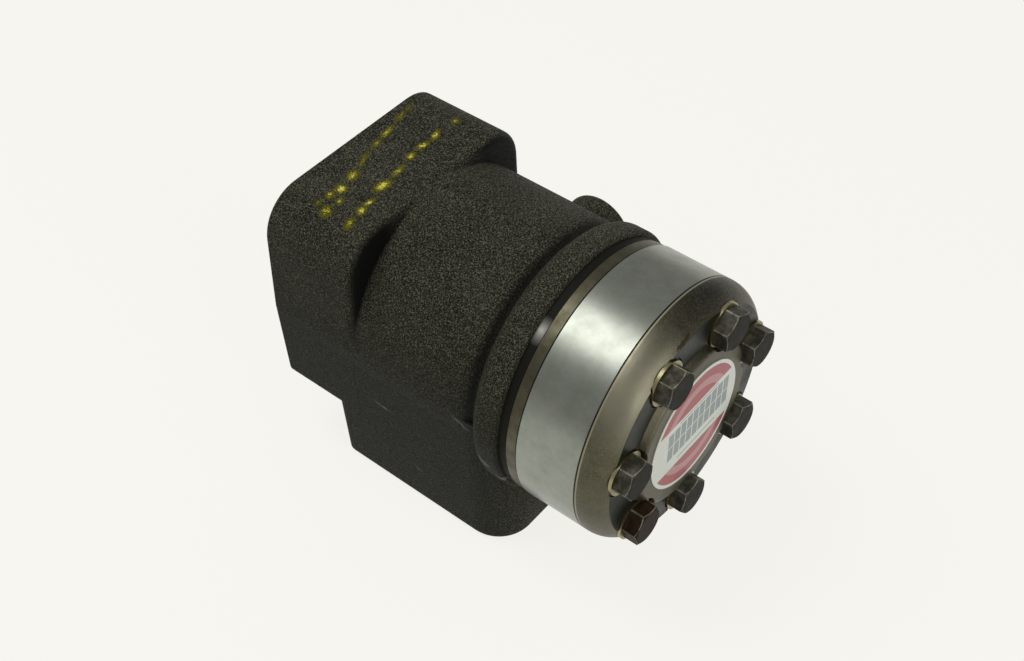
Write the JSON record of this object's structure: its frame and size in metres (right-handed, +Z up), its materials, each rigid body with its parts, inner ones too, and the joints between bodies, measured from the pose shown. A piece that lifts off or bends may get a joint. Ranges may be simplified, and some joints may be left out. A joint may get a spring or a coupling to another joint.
{
  "type": "orbital steering unit",
  "caption": "Orbital hydrostatic steering unit: cast iron valve housing with column flange and threaded ports, spool and sleeve, gerotor meter, plate and round end cover with hexagon screws.",
  "frame": {"origin": "centre of the flat mounting face for the steering column, on the spool axis", "axes": "+X along the spool axis towards the end cover, +Z up and away from the four ports, +Y to the side of the load sensing boss"},
  "size_m": [0.1506, 0.098, 0.1145],
  "materials": {
    "cast_housing": "rough sand-cast iron, dark olive grey with light oxide grain",
    "ground_steel": "ground steel",
    "plate_steel": "lapped plate, tan grey oil film",
    "phosphated_cover": "brown grey phosphated iron, machined channel",
    "black_oxide": "black oxide screws",
    "rusted_screw": "light rust over black oxide",
    "zinc_washer": "yellow zinc plate",
    "label_paper": "plain printed label, no text",
    "seal_rubber": "nitrile rubber",
    "seal_ptfe": "filled sealing ring",
    "hardened_steel": "hardened and ground steel",
    "spring_steel": "blued spring steel"
  },
  "bodies": {
    "housing_set": {"housing": "cast_housing", "dust_seal": "seal_rubber", "shaft_seal_ring": "seal_ptfe", "shaft_seal_o_ring": "seal_rubber", "bearing_outer_race": "hardened_steel", "housing_o_ring": "seal_rubber", "distributor_plate": "plate_steel", "plate_o_ring": "seal_rubber", "gear_ring": "ground_steel", "cover_o_ring": "seal_rubber", "end_cover": "phosphated_cover", "cover_screws": "black_oxide", "special_screw": "rusted_screw", "rolled_pin": "hardened_steel", "cover_washers": "zinc_washer", "data_label": "label_paper", "check_bushing": "hardened_steel", "suction_pins": "hardened_steel", "relief_plug": "black_oxide", "relief_setting_screw": "black_oxide", "relief_spring": "spring_steel", "shock_plugs": "black_oxide", "shock_setting_screws": "black_oxide", "shock_spring_left": "spring_steel", "shock_spring_right": "spring_steel"},
    "sleeve_set": {"sleeve": "hardened_steel", "cross_pin": "hardened_steel", "spring_ring": "spring_steel", "flat_springs": "spring_steel", "bowed_springs": "spring_steel", "bearing_inner_race": "hardened_steel"},
    "spool_set": {"spool": "hardened_steel"},
    "needle_set": {"needle_cage": "hardened_steel", "thrust_needles": "hardened_steel"},
    "orbit_carrier": {"spacer": "hardened_steel"},
    "rotor_set": {"rotor": "hardened_steel"},
    "cardan_set": {"cardan_shaft": "hardened_steel"},
    "check_valve": {"check_ball": "hardened_steel"},
    "suction_valve_left": {"suction_ball_left": "hardened_steel"},
    "suction_valve_right": {"suction_ball_right": "hardened_steel"},
    "relief_valve": {"relief_poppet": "hardened_steel"},
    "shock_valve_left": {"shock_ball_left": "hardened_steel"},
    "shock_valve_right": {"shock_ball_right": "hardened_steel"}
  },
  "joints": [
    {"name": "sleeve_spin", "type": "hinge", "parent": "housing_set", "child": "sleeve_set", "pos_m": [0.046, 0, 0], "axis": [1, 0, 0], "continuous": true},
    {"name": "spool_deflection", "type": "hinge", "parent": "sleeve_set", "child": "spool_set", "pos_m": [0.032, 0, 0], "axis": [1, 0, 0], "range_deg": [-9, 9], "stiffness_Nm_per_rad": 8, "deforming": ["flat_springs", "bowed_springs"]},
    {"name": "needle_spin", "type": "hinge", "parent": "housing_set", "child": "needle_set", "pos_m": [0.019, 0, 0], "axis": [1, 0, 0], "continuous": true},
    {"name": "rotor_orbit", "type": "hinge", "parent": "housing_set", "child": "orbit_carrier", "pos_m": [0.12225, 0, 0], "axis": [1, 0, 0], "continuous": true},
    {"name": "rotor_spin", "type": "hinge", "parent": "orbit_carrier", "child": "rotor_set", "pos_m": [0.12225, 0, 0.0035], "axis": [1, 0, 0], "continuous": true},
    {"name": "cardan_spin", "type": "hinge", "parent": "orbit_carrier", "child": "cardan_set", "pos_m": [0.046, 0, 0], "axis": [0.9989, 0, 0.0459], "continuous": true},
    {"name": "check_lift", "type": "slide", "parent": "housing_set", "child": "check_valve", "axis": [1, 0, 0], "range_m": [0, 0.0014]},
    {"name": "suction_lift_left", "type": "slide", "parent": "housing_set", "child": "suction_valve_left", "axis": [1, 0, 0], "range_m": [0, 0.0011]},
    {"name": "suction_lift_right", "type": "slide", "parent": "housing_set", "child": "suction_valve_right", "axis": [1, 0, 0], "range_m": [0, 0.0011]},
    {"name": "relief_lift", "type": "slide", "parent": "housing_set", "child": "relief_valve", "axis": [-1, 0, 0], "range_m": [0, 0.0015], "stiffness_N_per_m": 8000, "deforming": ["relief_spring"]},
    {"name": "shock_lift_left", "type": "slide", "parent": "housing_set", "child": "shock_valve_left", "axis": [-1, 0, 0], "range_m": [0, 0.0012], "stiffness_N_per_m": 8000, "deforming": ["shock_spring_left"]},
    {"name": "shock_lift_right", "type": "slide", "parent": "housing_set", "child": "shock_valve_right", "axis": [-1, 0, 0], "range_m": [0, 0.0012], "stiffness_N_per_m": 8000, "deforming": ["shock_spring_right"]}
  ],
  "couplings": [
    {"joint": "needle_spin", "follows": "sleeve_spin", "ratio": 0.5},
    {"joint": "rotor_orbit", "follows": "sleeve_spin", "ratio": -6},
    {"joint": "rotor_spin", "follows": "sleeve_spin", "ratio": 7},
    {"joint": "cardan_spin", "follows": "sleeve_spin", "ratio": 7}
  ]
}
